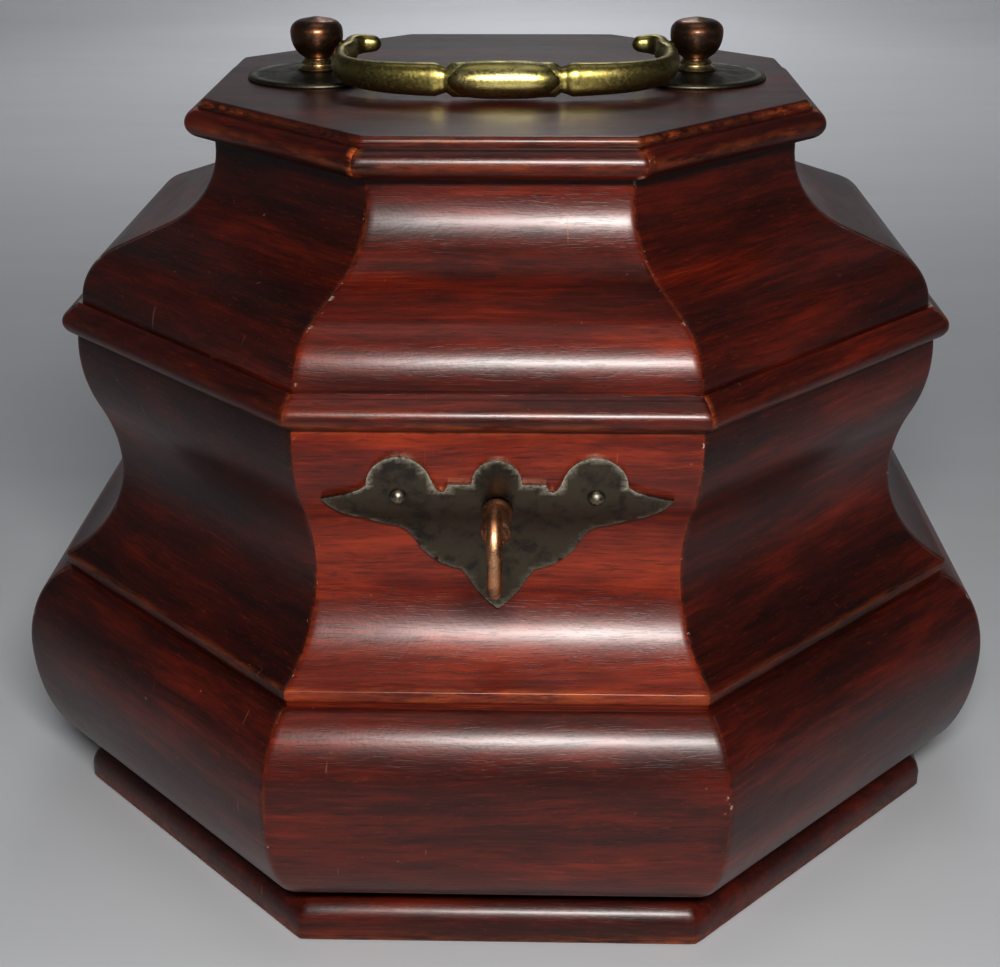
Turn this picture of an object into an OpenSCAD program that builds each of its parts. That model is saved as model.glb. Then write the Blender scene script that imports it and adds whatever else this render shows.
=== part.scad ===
// Octagonal bombe tea caddy with a domed hinged lid, a drop handle, an escutcheon, a box lock and its key.
// Origin at the middle of the base, +Z up, the lock on the -Y side. Millimetres.
// "Reach" is the distance from the vertical centre line to a flat face, at right angles to it.

/* [Base] */
// Reach of the base board
base_reach = 105; // [103:0.5:108]
// Thickness of the base board
base_h = 9.4; // [8:0.2:11]
// Radius of the base board's rounded top edge
base_round = 5.5; // [3:0.5:7]
// Reach of the bottom board in the shadow gap
bottom_reach = 99; // [97:0.5:101]

/* [Belly tier] */
// Underside of the belly staves
belly_z0 = 13.5; // [12:0.5:15]
// Top of the belly staves, where the waist stands on them
belly_z1 = 60.3; // [59:0.1:62]
// Height of the fullest point
belly_peak_z = 41; // [38:0.5:44]
// Reach at the fullest point
belly_reach = 115; // [112:0.5:117]
// Depth of the swelling
belly_swell = 12; // [10:0.5:14]
// Reach of the flat inner face
belly_inner = 96; // [95:0.5:98]

/* [Waist tier] */
// Reach of the sharp ledge at the foot of the waist
ledge_reach = 105; // [104:0.2:106]
// Height of the ledge's top edge
ledge_z = 64.3; // [63.5:0.1:65]
// Reach at the narrowest point
waist_reach = 90.8; // [90:0.2:92]
// Height of the narrowest point
waist_z = 85.5; // [84:0.5:87]
// Radius of the flare from the narrowest point down to the ledge
flare_r = 23; // [22:0.5:24]
// Reach where the upper face stands upright again
mouth_reach = 97.3; // [96.5:0.1:98]
// Height of that point
mouth_z = 114.5; // [113:0.5:116]
// Top edge of the body
body_top = 118.5; // [118:0.1:119]
// Reach of the flat inner face
waist_inner = 83; // [82:0.5:84]

/* [Lid] */
// Gap between the body and the lid when shut
lid_gap = 0.3; // [0.2:0.05:0.5]
// Reach of the rim bead
rim_reach = 100; // [99:0.2:101]
// Height of the rim strips' flat top, where the dome stands
rim_top = 125.5; // [125:0.1:126]
// Reach of the dome's upright foot
dome_foot = 95.3; // [94.5:0.1:96]
// Radius of the dome's round shoulder
shoulder_r = 12.3; // [11.5:0.1:13]
// Reach of the neck under the top moulding
neck_reach = 65; // [64:0.5:66]
// Radius of the hollow below the neck
hollow_r = 17.7; // [17:0.1:18.5]
// Underside of the top board
board_z0 = 160.9; // [160.5:0.1:161.5]
// Top of the lid
lid_top = 169.2; // [168.5:0.1:170]
// Reach of the top moulding's bead
bead_reach = 71.1; // [70:0.1:72]
// Radius of that bead
bead_r = 3.1; // [2.8:0.1:3.3]

/* [Handle] */
// Distance from the centre to each handle post
post_x = 44.45; // [43:0.05:46]
// Height of the knobs' tops
knob_top = 183; // [182:0.5:184]
// Largest radius of a knob
knob_r = 6.15; // [5.8:0.05:6.2]
// Radius of a rosette
rosette_r = 16.6; // [15:0.2:18]
// Height of the bail's pivots
pivot_z = 176.4; // [176:0.1:177]
// Half width of the bail, centre line to centre line
bail_x = 36.2; // [35.5:0.1:36.3]
// Reach of the bail in front of its pivots
bail_y = 29; // [27:0.5:31]
// Radius of a bail pivot
bail_pin_r = 1.2; // [1:0.05:1.4]
// Radius of the barrel grip
grip_r = 4.1; // [3.6:0.1:4.3]

/* [Lock and key] */
// Height of the keyhole
key_z = 101.6; // [101:0.1:102.2]
// Thickness of the escutcheon plate
plate_t = 1.2; // [0.8:0.1:1.6]
// Travel of the bolt
bolt_throw = 5; // [4:0.5:5]
// Height of the key's bow
bow_h = 19; // [17:0.5:21]
// Length of the key's bow
bow_l = 15; // [13:0.5:17]
// Radius of the drill pin in the piped key
drill_r = 0.95; // [0.8:0.05:1.1]

/* [Hinges] */
// Distance from the centre to the middle of each hinge
hinge_x = 20; // [19:0.5:21]
// Length of a hinge
hinge_l = 26; // [24:0.5:27]
// Reach of the hinge pins' line
hinge_y = 101.8; // [101.7:0.05:102.2]
// Radius of a knuckle
knuckle_r = 2.3; // [2.2:0.05:2.4]
// Radius of a hinge pin
hinge_pin_r = 1.1; // [0.9:0.05:1.2]

/* [Hidden] */
SIDES = ["front", "front_right", "right", "back_right", "back", "back_left", "left", "front_left"];

MAHOGANY = [0.36, 0.1, 0.06];
BRASS = [0.55, 0.48, 0.22];
DARK_BRASS = [0.3, 0.29, 0.24];
COPPER = [0.55, 0.33, 0.2];
STEEL = [0.5, 0.5, 0.5];

FAR = 140;                          // beyond every face
HALF_SIDE = tan(22.5);              // half a side's length for each unit of reach
lid_z0 = body_top + lid_gap;        // underside of the lid
hinge_z = body_top + lid_gap / 2;   // hinge pins' height
leaf_t = 1.4;                       // thickness of a hinge leaf
leaf_gap = 0.1;                     // from the hinge line's height to a leaf's face
leaf_y0 = 88;                       // inner edge of a leaf
fit_gap = 0.05;                     // radial clearance of a turning fit
screw_r = 1;                        // radius of the wood screws
post_shank_r = 1.6;
rosette_h = 1.8;
dome_top_inner = 54;                // inner reach of the dome under the top board
rim_inner = 80;                     // inner reach of the rim and of the dome's foot
board_rebate = 62;                  // reach of the board's rebate inside the bead strips
plate_x = 27;                       // half width of the lock plate
plate_y = [-waist_inner - 1.2, -waist_inner];
case_x = 21;                        // half width of the lock case
case_y = -90.4;                     // front face of the lock case
case_z = [95.6, 117.3];
case_wall = 0.6;
eye_x = 10;                         // middle of the keeper's eye
bolt_z = 111.3;                     // middle of the bolt's head
bolt_y = -87;                       // middle of the bolt's thickness
lock_screw_x = 24;
lock_screw_z = [100, 113];
hinge_screw_dx = 8;                 // from a hinge's middle to each of its screws
hinge_screw_y = 92;
keeper_screw_dx = 7.5;
bow_y = -115;                       // middle of the key's bow
bit_reach = 5;                      // from the key's axis to the tip of its bit
bit_t = 1.6;

// Points along an arc about c, from angle a0 to a1, in n steps; rx and ry are its radii.
function arc(c, rx, ry, a0, a1, n) =
    [for (i = [0:n]) let (a = a0 + (a1 - a0) * i / n) [c[0] + rx * cos(a), c[1] + ry * sin(a)]];

// Radius of the two equal arcs that make an S between points dx and dz apart, upright at both ends.
function ogee_radius(dx, dz) = (dx * dx + dz * dz) / (4 * dx);
waist_r = ogee_radius(mouth_reach - waist_reach, mouth_z - waist_z);
waist_a = asin((mouth_z - waist_z) / 2 / waist_r);
flare_a = asin((waist_z - ledge_z) / flare_r);
crown_a = asin((body_top - mouth_z) / waist_r);

// Outer line of the waist from the ledge up to the mouth, pushed out by t.
function waist_line(t, n) = concat(
    arc([waist_reach + flare_r, waist_z], flare_r - t, flare_r - t, 180 + flare_a, 180, n),
    arc([waist_reach + waist_r, waist_z], waist_r - t, waist_r - t, 180, 180 - waist_a, n),
    arc([mouth_reach - waist_r, mouth_z], waist_r + t, waist_r + t, -waist_a, crown_a, n));

belly_centre = [belly_reach - belly_swell, belly_peak_z];
belly_low = belly_peak_z - belly_z0;
belly_high = 19.8;
belly_a = asin((belly_z1 - belly_peak_z) / belly_high);
BELLY = concat(
    [[belly_inner, belly_z1], [belly_inner, belly_z0]],
    arc(belly_centre, belly_swell, belly_low, -90, 0, 14),
    arc(belly_centre, belly_swell, belly_high, 6, belly_a, 11));

WAIST = concat(
    [[waist_inner, body_top], [waist_inner, belly_z1], [ledge_reach - 0.6, belly_z1],
     [ledge_reach - 0.6, belly_z1 + 0.8], [ledge_reach, belly_z1 + 1.8], [ledge_reach, ledge_z - 0.2]],
    waist_line(0, 9));

rim_nose_r = 2.5;
RIM = concat(
    [[rim_inner, rim_top], [rim_inner, lid_z0]],
    arc([rim_reach - rim_nose_r, lid_z0 + rim_nose_r], rim_nose_r, rim_nose_r, -90, 55, 12),
    [[97.6, 124], [96.2, 124.6], [dome_foot, rim_top]]);

shoulder_a = 20;                    // slope of the dome between its shoulder and its hollow
shoulder_c = [dome_foot - shoulder_r, rim_top + 0.7];
hollow_c = [neck_reach + hollow_r, 158.4];
DOME = concat(
    [[dome_top_inner, board_z0], [rim_inner, rim_top], [dome_foot, rim_top]],
    arc(shoulder_c, shoulder_r, shoulder_r, 0, 90 - shoulder_a, 12),
    arc(hollow_c, hollow_r, hollow_r, 270 - shoulder_a, 180, 12),
    [[neck_reach, board_z0]]);

bead_z = board_z0 + bead_r;
BEAD = concat(
    [[board_rebate, board_z0 + 2 * bead_r], [board_rebate, board_z0]],
    arc([bead_reach - bead_r, bead_z], bead_r, bead_r, -90, 90, 18));

BASE = concat(
    [[0, 0], [base_reach - 0.8, 0], [base_reach, 0.8]],
    arc([base_reach - base_round, base_h - base_round], base_round, base_round, 0, 90, 10),
    [[0, base_h]]);

board_lip = board_z0 + 2 * bead_r;
TOP = concat(
    [[0, board_z0], [board_rebate, board_z0], [board_rebate, board_lip], [68, board_lip], [68, 167.9]],
    [[67.3, 168]],
    arc([66.1, 168], 1.2, lid_top - 168, 0, 90, 5),
    [[0, lid_top]]);

// A profile (reach, height) drawn out sideways, facing +Y.
module drawn(profile, width) {
    rotate([90, 0, 90]) linear_extrude(width, center = true) polygon(profile);
}

// One mitred eighth of a tier: side 0 faces the front, and they count anticlockwise from above.
// hairline draws the mitre faces back a little, where strips of one node must stay separate.
module stave(profile, side, hairline = 0) {
    rotate([0, 0, 180 + 45 * side]) intersection() {
        drawn(profile, 2 * FAR * HALF_SIDE);
        translate([0, hairline, 0]) linear_extrude(2 * FAR)
            polygon([[0, 0], [FAR * HALF_SIDE, FAR], [-FAR * HALF_SIDE, FAR]]);
    }
}

// A whole octagonal board whose edge follows the profile.
module board(profile) {
    mirrored = [for (i = [len(profile) - 1:-1:0]) if (profile[i][0] > 0) [-profile[i][0], profile[i][1]]];
    intersection_for (a = [0:45:135])
        rotate([0, 0, a]) drawn(concat(profile, mirrored), 3 * FAR);
}

module base_board() {
    color(MAHOGANY) board(BASE);
}

module bottom_board() {
    color(MAHOGANY) board([[0, base_h], [bottom_reach, base_h], [bottom_reach, belly_z0], [0, belly_z0]]);
}

module belly_stave(side) {
    color(MAHOGANY) stave(BELLY, side);
}

// Places a child at each of the two hinges.
module at_hinges() {
    for (x = [-hinge_x, hinge_x]) translate([x, 0, 0]) children();
}

// Places a child at each screw of the hinges.
module at_hinge_screws() {
    at_hinges() for (dx = [-hinge_screw_dx, hinge_screw_dx])
        translate([dx, hinge_screw_y, hinge_z]) children();
}

module at_lock_screws() {
    for (x = [-lock_screw_x, lock_screw_x], z = lock_screw_z)
        translate([x, plate_y[1], z]) rotate([90, 0, 0]) children();
}

module at_keeper_screws() {
    for (dx = [-keeper_screw_dx, keeper_screw_dx])
        translate([eye_x + dx, bolt_y, lid_z0]) children();
}

// A countersunk wood screw along +Z, its head's top at z = 0 pushed down into the work by -Z.
module screw(length) {
    cylinder(length, screw_r, screw_r, $fn = 24);
    cylinder(1, 2 * screw_r, screw_r, $fn = 24);
}

// The keyhole: a round hole with the slot for the bit below it, along Y.
module keyhole(y0, y1, r, slot_w, slot_h) {
    translate([0, y1, key_z]) rotate([90, 0, 0]) cylinder(y1 - y0, r, r, $fn = 48);
    translate([-slot_w / 2, y0, key_z - slot_h]) cube([slot_w, y1 - y0, slot_h]);
}

module waist_stave(side) {
    color(MAHOGANY) difference() {
        stave(WAIST, side);
        if (side == 0) {
            translate([-plate_x, plate_y[0], case_z[0]])
                cube([2 * plate_x, 10, body_top]);
            translate([-case_x, case_y, case_z[0]])
                cube([2 * case_x, 20, body_top]);
            keyhole(-FAR, -waist_inner, 3.1, 2.6, 6.2);
            at_lock_screws() screw(8);
            at_escutcheon_pins() cylinder(5, 0.8, 0.8, $fn = 24);
        }
        if (side == 4) {
            at_hinges() translate([-hinge_l / 2, leaf_y0, hinge_z - leaf_gap - leaf_t])
                cube([hinge_l, 20, 2 * leaf_t]);
            at_hinge_screws() mirror([0, 0, 1]) translate([0, 0, leaf_gap]) screw(7.5);
        }
    }
}

module lid_rim(side) {
    color(MAHOGANY) difference() {
        stave(RIM, side);
        if (side == 0) {
            translate([eye_x - 11, bolt_y - 4.5, lid_z0 - 1]) cube([22, 9, 2.2]);
            at_keeper_screws() screw(5.5);
        }
        if (side == 4) {
            at_hinges() translate([-hinge_l / 2, leaf_y0, hinge_z - leaf_t])
                cube([hinge_l, 20, 2 * leaf_t + leaf_gap]);
            at_hinges() translate([-hinge_l / 2, hinge_y, hinge_z]) rotate([0, 90, 0])
                cylinder(hinge_l, knuckle_r + 0.35, knuckle_r + 0.35, $fn = 64);
            at_hinge_screws() translate([0, 0, leaf_gap]) screw(6.2);
        }
    }
}

module dome_stave(side) {
    color(MAHOGANY) stave(DOME, side);
}

module top_moulding() {
    color(MAHOGANY) for (side = [0:7]) stave(BEAD, side, 0.1);
}

module at_posts() {
    for (x = [-post_x, post_x]) translate([x, 0, 0]) children();
}

module top_board() {
    color(MAHOGANY) difference() {
        board(TOP);
        at_posts() translate([0, 0, board_z0 - 1]) cylinder(20, post_shank_r, post_shank_r, $fn = 32);
    }
}

// A thin domed disc with a bevelled edge and a hole for the post.
module rosette(x) {
    color(DARK_BRASS) translate([x, 0, lid_top]) rotate_extrude($fn = 96)
        polygon(concat(
            [[post_shank_r, 0], [rosette_r, 0], [rosette_r, 0.7], [rosette_r - 0.5, 1.1]],
            [[rosette_r - 1.2, 1.1]],
            arc([0, rosette_h - 110], 110, 110, 82.3, 87.4, 8),
            [[4.8, rosette_h], [post_shank_r, rosette_h]]));
}

foot_z = lid_top + rosette_h;       // where a post stands on its rosette
widest_z = 179.3;                   // where a knob is widest
crown_r = 3.2;                      // how far the knob's rounded shoulder reaches in from its side
crown_h = 2.7;

// A pear-shaped knob on a waisted neck, with its threaded shank through the board.
module post(x, inward) {
    color(COPPER) difference() {
        translate([x, 0, 0]) rotate_extrude($fn = 96) polygon(concat(
            [[0, 155.6], [post_shank_r, 155.6], [post_shank_r, foot_z], [4.6, foot_z]],
            arc([4.6, foot_z + 1.3], 1.3, 1.3, 270, 180, 5),
            [[3.5, foot_z + 1.7], [3.1, foot_z + 2.1], [3.4, 174]],
            arc([1.6, widest_z], knob_r - 1.6, widest_z - 173.6, -62, 0, 9),
            arc([knob_r - crown_r, knob_top - 0.55 - crown_h], crown_r, crown_h, 0, 82, 9),
            [[1.6, knob_top - 0.1], [0, knob_top]]));
        translate([x, 0, pivot_z]) rotate([0, 90 * inward, 0])
            translate([0, 0, 0.6]) cylinder(10, bail_pin_r + fit_gap, bail_pin_r + fit_gap, $fn = 48);
    }
}

module post_washers() {
    color(BRASS) at_posts() difference() {
        translate([0, 0, board_z0 - 0.8]) cylinder(0.8, 4.5, 4.5, $fn = 48);
        translate([0, 0, board_z0 - 2]) cylinder(4, post_shank_r, post_shank_r, $fn = 32);
    }
}

module post_nuts() {
    color(BRASS) at_posts() difference() {
        translate([0, 0, board_z0 - 3.8]) cylinder(3, 4.04, 4.04, $fn = 6);
        translate([0, 0, board_z0 - 5]) cylinder(6, post_shank_r, post_shank_r, $fn = 32);
    }
}

// Centre line of half the bail seen from above, from the middle of the grip (u = 0) to the tip (u = 1):
// a squared oval in front, a straight arm drawing in to the pivot, then a short hook that curls inwards.
hook_r = 3.4;
hook_run = 3.3;                     // straight tip beyond the curl
front_end = 0.6;                    // where the oval ends
arm_end = 0.72;                     // where the hook begins, at the pivot
corner_x = bail_x + 1.4;            // half width at the front corners
oval_y = -10;                       // where the oval meets the arms
hook_y = -1.6;
function oval_part(v) = pow(max(v, 0), 2 / 3.2);
function bail_plan(u) =
    u < front_end
        ? let (a = 90 * u / front_end)
            [corner_x * oval_part(sin(a)), oval_y - (bail_y + oval_y) * oval_part(cos(a))]
    : u < arm_end
        ? let (t = (u - front_end) / (arm_end - front_end))
            let (k = min(1, 1.6 * t))
            [corner_x - (corner_x - bail_x) * k * k * (3 - 2 * k), oval_y + (hook_y - oval_y) * t]
    : let (t = (u - arm_end) / (1 - arm_end), a = min(90, 150 * t))
        [bail_x - hook_r + hook_r * cos(a) - hook_run * max(0, (t - 0.6) / 0.4), hook_y + hook_r * sin(a)];

// Half thickness sideways and half height of the bar along the same half.
function hook_part(u) = pow((u - arm_end) / (1 - arm_end), 2);
function bail_half_w(u) = u < arm_end ? 2.6 - 1.12 * u : 1.8 - 0.5 * hook_part(u);
function bail_half_h(u) = u < arm_end ? 3.75 - 1.95 * u : 2.35 - 1 * hook_part(u);
rest_slope = (pivot_z - lid_top - grip_r - 0.3) / bail_y;

bail_us = [for (i = [0:40]) i / 40];
bail_path = concat(
    [for (i = [40:-1:1]) let (p = bail_plan(bail_us[i])) [-p[0], p[1], bail_us[i]]],
    [for (i = [0:40]) let (p = bail_plan(bail_us[i])) [p[0], p[1], bail_us[i]]]);

// One ring of 12 points about each point of a path of [x, y, u], leaning with the slope of the bail.
module bail_bar() {
    n = len(bail_path);
    k = 12;
    rings = [for (i = [0:n - 1])
        let (a = bail_path[max(i - 1, 0)], b = bail_path[min(i + 1, n - 1)], p = bail_path[i],
             d = [b[0] - a[0], b[1] - a[1]], m = norm(d), s = [d[1] / m, -d[0] / m],
             w = bail_half_w(p[2]), h = bail_half_h(p[2]))
        [for (j = [0:k - 1]) let (c = w * cos(360 * j / k), y = p[1] + s[1] * c)
            [p[0] + s[0] * c, y, pivot_z + rest_slope * y + h * sin(360 * j / k)]]];
    polyhedron(
        points = [for (r = rings) each r],
        faces = concat(
            [for (i = [0:n - 2], j = [0:k - 1]) let (q = (j + 1) % k)
                [i * k + j, i * k + q, (i + 1) * k + q, (i + 1) * k + j]],
            [[for (j = [k - 1:-1:0]) j]],
            [[for (j = [0:k - 1]) (n - 1) * k + j]]));
}

module bail() {
    grip_z = pivot_z - rest_slope * bail_y;
    color(BRASS) {
        bail_bar();
        translate([0, -bail_y, grip_z]) rotate([0, 90, 0]) rotate_extrude($fn = 64)
            polygon(concat([[0, -13.3]], arc([0, 0], grip_r, 13.3, -84, 84, 28), [[0, 13.3]]));
        for (s = [-1, 1]) translate([s * bail_x, 0, pivot_z]) rotate([0, 90 * s, 0])
            cylinder(6.8, bail_pin_r, bail_pin_r, $fn = 48);
    }
}

// Right half of the escutcheon's outline, from the bottom point round to the middle of the top lobe.
side_lobe = [19.3, 107.1];
top_lobe = [0, 108];
half_plate = concat(
    [[0, 77.6], [1.4, 78.5], [2.8, 79.8], [4.4, 81.5], [6.1, 84.1], [7.4, 86]],
    [[9.4, 86.5], [11.4, 87.3], [13.7, 88.9], [15.6, 91], [16.7, 93.2], [18.2, 95.6]],
    [[20.2, 96.8], [22.6, 97.3], [25.3, 98.2], [28.2, 99.1], [31, 100.1], [33.3, 101.8]],
    [[35, 103.8], [32.6, 104.3], [29.8, 105], [27.4, 106]],
    arc(side_lobe, 6.5, 6.5, 0, 165, 16),
    [[12, 106.4], [11.2, 105.7], [10.2, 106], [9.7, 107.5], [5, 107.5]],
    arc(top_lobe, 4.9, 4.9, 15, 90, 8));

module escutcheon() {
    other_half = [for (i = [len(half_plate) - 2:-1:1]) [-half_plate[i][0], half_plate[i][1]]];
    skin = concat(waist_line(plate_t, 9), [for (i = [29:-1:0]) waist_line(0, 9)[i]]);
    color(DARK_BRASS) difference() {
        intersection() {
            rotate([90, 0, 0]) linear_extrude(FAR) polygon(concat(half_plate, other_half));
            rotate([0, 0, 180]) drawn(skin, FAR);
        }
        keyhole(-FAR, -80, 3.1, 2.6, 6.2);
        at_escutcheon_pins() translate([0, 0, -5]) cylinder(10, 0.8, 0.8, $fn = 24);
    }
}

pin_x = 19.6;
pin_z = 104.9;
pin_lean = asin((mouth_z - pin_z) / waist_r);
pin_y = -(mouth_reach - waist_r + waist_r * cos(pin_lean));

// The escutcheon pins' places, +Z into the wood, z = 0 on the wood's face.
module at_escutcheon_pins() {
    for (x = [-pin_x, pin_x]) translate([x, pin_y, pin_z]) rotate([pin_lean - 90, 0, 0]) children();
}

module escutcheon_pins() {
    color(BRASS) at_escutcheon_pins() {
        cylinder(5, 0.8, 0.8, $fn = 24);
        translate([0, 0, -plate_t]) mirror([0, 0, 1]) rotate_extrude($fn = 48)
            polygon(concat([[0, -plate_t], [0.8, -plate_t], [0.8, 0]], arc([0, -0.3], 1.8, 1.7, 10, 90, 8)));
    }
}

module lock_plate() {
    selvedge_z = case_z[1];
    color(BRASS) difference() {
        union() {
            translate([-plate_x, plate_y[0], case_z[0]])
                cube([2 * plate_x, 1.2, body_top - case_z[0]]);
            translate([-case_x, case_y, selvedge_z])
                cube([2 * case_x, plate_y[1] - case_y, body_top - selvedge_z]);
        }
        translate([eye_x - 1.6, -89.8, selvedge_z - 1]) cube([3.2, 5.4, 4]);
        at_lock_screws() screw(8);
        at_studs(10) cylinder(20, drill_r, drill_r, $fn = 32);
    }
}

module lock_case() {
    color(BRASS) difference() {
        translate([-case_x, case_y, case_z[0]])
            cube([2 * case_x, plate_y[0] - case_y, case_z[1] - case_z[0]]);
        translate([-case_x + case_wall, case_y + case_wall, case_z[0] + case_wall])
            cube([2 * (case_x - case_wall), 20, 40]);
        keyhole(-FAR, -80, 2.5, 2.2, 6);
    }
}

stud_x = -11;
// The two studs' places on the plate's inner face, +Z towards the key's bow; back sets the start behind it.
module at_studs(back) {
    translate([0, plate_y[1] + back, key_z]) rotate([90, 0, 0]) children();
    translate([stud_x, plate_y[1] + back, bolt_z - 0.6]) rotate([90, 0, 0]) children();
}

module lock_studs() {
    color(STEEL) at_studs(0) cylinder(6.4, drill_r, drill_r, $fn = 32);
}

module lock_spring() {
    top = case_z[1];
    color(STEEL) translate([-6, bolt_y + 1, top - 0.05]) rotate([90, 0, 0]) linear_extrude(2)
        polygon(concat(
            arc([0, 16.8], 20, 20, 237, 303, 12),
            arc([0, 16.8], 19.4, 19.4, 300, 240, 12)));
}

module lock_bolt() {
    half_t = 1.2;
    body_end = 3.4;
    color(BRASS) translate([0, bolt_y + half_t, 0]) rotate([90, 0, 0])
    linear_extrude(2 * half_t) difference() {
        polygon([
            [-18.6, 105.8], [-10, 105.8], [-10, 107.6], [0, 107.6], [0, 105.8], [body_end, 105.8],
            [body_end, bolt_z - 1.4], [8.2, bolt_z - 1.4], [8.2, bolt_z + 1.4], [body_end, bolt_z + 1.4],
            [body_end, 113.6], [-18.6, 113.6]]);
        for (x = [stud_x, stud_x - bolt_throw]) translate([x, bolt_z - 0.6]) circle(1.05, $fn = 32);
        translate([stud_x - bolt_throw, bolt_z - 1.65]) square([bolt_throw, 2.1]);
    }
}

module lock_screws() {
    color(BRASS) at_lock_screws() screw(8);
}

// Key along -Y: piped barrel with its bit, collars, shank and an oval ring for a bow.
module key_bow() {
    n = 40;
    k = 12;
    wire = 1.5;
    rings = [for (i = [0:n - 1]) let (a = 360 * i / n)
        [for (j = [0:k - 1]) let (b = 360 * j / k)
            [wire * 0.93 * sin(b),
             bow_y + (bow_l / 2 - wire + wire * cos(b)) * cos(a),
             key_z + (bow_h / 2 - wire + wire * cos(b)) * sin(a)]]];
    polyhedron(
        points = [for (r = rings) each r],
        faces = [for (i = [0:n - 1], j = [0:k - 1]) let (q = (j + 1) % k, m = (i + 1) % n)
            [i * k + j, i * k + q, m * k + q, m * k + j]]);
}

module key() {
    shank_end = bow_y + bow_l / 2 - 0.8;
    color(COPPER) difference() {
        union() {
            translate([0, 0, key_z]) rotate([90, 0, 0]) rotate_extrude($fn = 64) polygon([
                [0, 84.9], [2.2, 84.9], [2.2, 97.4], [2.9, 97.5], [3.1, 98.4], [2.9, 99.4], [2.6, 99.7],
                [2.6, -shank_end - 3], [3, -shank_end - 2.4], [3, -shank_end - 1.2], [2.4, -shank_end - 0.6],
                [2.2, -shank_end], [0, -shank_end]]);
            translate([-bit_t / 2, -89.2, key_z - bit_reach]) cube([bit_t, 3.4, bit_reach - 1]);
            key_bow();
        }
        translate([0, -84, key_z]) rotate([90, 0, 0])
            cylinder(7.4, drill_r + fit_gap, drill_r + fit_gap, $fn = 32);
    }
}

module keeper() {
    color(BRASS) difference() {
        union() {
            translate([eye_x - 11, bolt_y - 4.5, lid_z0]) cube([22, 9, 1.2]);
            translate([eye_x - 1, bolt_y - 2.1, 108]) cube([2, 4.2, lid_z0 + 0.6 - 108]);
        }
        translate([eye_x - 2, bolt_y - 1.45, bolt_z - 1.8]) cube([4, 2.9, 3.6]);
        at_keeper_screws() screw(5.5);
    }
}

module keeper_screws() {
    color(BRASS) at_keeper_screws() screw(5.5);
}

knuckles = 5;
knuckle_l = hinge_l / knuckles;
// The knuckles from number first on, every second one, bored to r.
module knuckle_row(first, r) {
    at_hinges() for (i = [first:2:knuckles - 1])
        translate([-hinge_l / 2 + i * knuckle_l + 0.1, hinge_y, hinge_z]) rotate([0, 90, 0]) difference() {
            cylinder(knuckle_l - 0.2, knuckle_r, knuckle_r, $fn = 64);
            translate([0, 0, -1]) cylinder(knuckle_l + 2, r, r, $fn = 48);
        }
}

// A leaf with the knuckles from number first on; up = 1 for the lid's leaf, -1 for the body's.
module hinge_leaves(first, r, up) {
    face = leaf_gap;
    knuckle_row(first, r);
    difference() {
        at_hinges() union() {
            translate([-hinge_l / 2, leaf_y0, up > 0 ? hinge_z + face : hinge_z - face - leaf_t])
                cube([hinge_l, hinge_y - knuckle_r - 0.3 - leaf_y0, leaf_t]);
            for (i = [first:2:knuckles - 1])
                translate([-hinge_l / 2 + i * knuckle_l + 0.1, hinge_y - knuckle_r - 0.4,
                           up > 0 ? hinge_z + face : hinge_z - face - leaf_t])
                    cube([knuckle_l - 0.2, knuckle_r + 0.3 - hinge_pin_r, leaf_t]);
        }
        at_hinge_screws() mirror([0, 0, up > 0 ? 0 : 1]) translate([0, 0, face]) screw(8);
    }
}

module hinge_leaves_body() {
    color(BRASS) hinge_leaves(0, hinge_pin_r, -1);
}

module hinge_leaves_lid() {
    color(BRASS) hinge_leaves(1, hinge_pin_r + fit_gap, 1);
}

module hinge_pins() {
    color(STEEL) at_hinges() translate([-hinge_l / 2 + 0.1, hinge_y, hinge_z]) rotate([0, 90, 0])
        cylinder(hinge_l - 0.2, hinge_pin_r, hinge_pin_r, $fn = 48);
}

module hinge_screws_body() {
    color(BRASS) at_hinge_screws() mirror([0, 0, 1]) translate([0, 0, leaf_gap]) screw(7.5);
}

module hinge_screws_lid() {
    color(BRASS) at_hinge_screws() translate([0, 0, leaf_gap]) screw(6.2);
}

base_board();
bottom_board();
for (i = [0:7]) belly_stave(i);
for (i = [0:7]) waist_stave(i);
for (i = [0:7]) lid_rim(i);
for (i = [0:7]) dome_stave(i);
top_moulding();
top_board();
rosette(-post_x);  // rosette_left
rosette(post_x);  // rosette_right
post(-post_x, 1);  // post_left
post(post_x, -1);  // post_right
post_washers();
post_nuts();
bail();
escutcheon();
escutcheon_pins();
lock_plate();
lock_case();
lock_studs();
lock_spring();
lock_bolt();
lock_screws();
key();
keeper();
keeper_screws();
hinge_leaves_body();
hinge_leaves_lid();
hinge_pins();
hinge_screws_body();
hinge_screws_lid();
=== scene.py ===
import math

import bmesh
import bpy
from mathutils import Matrix, Vector, noise


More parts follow.
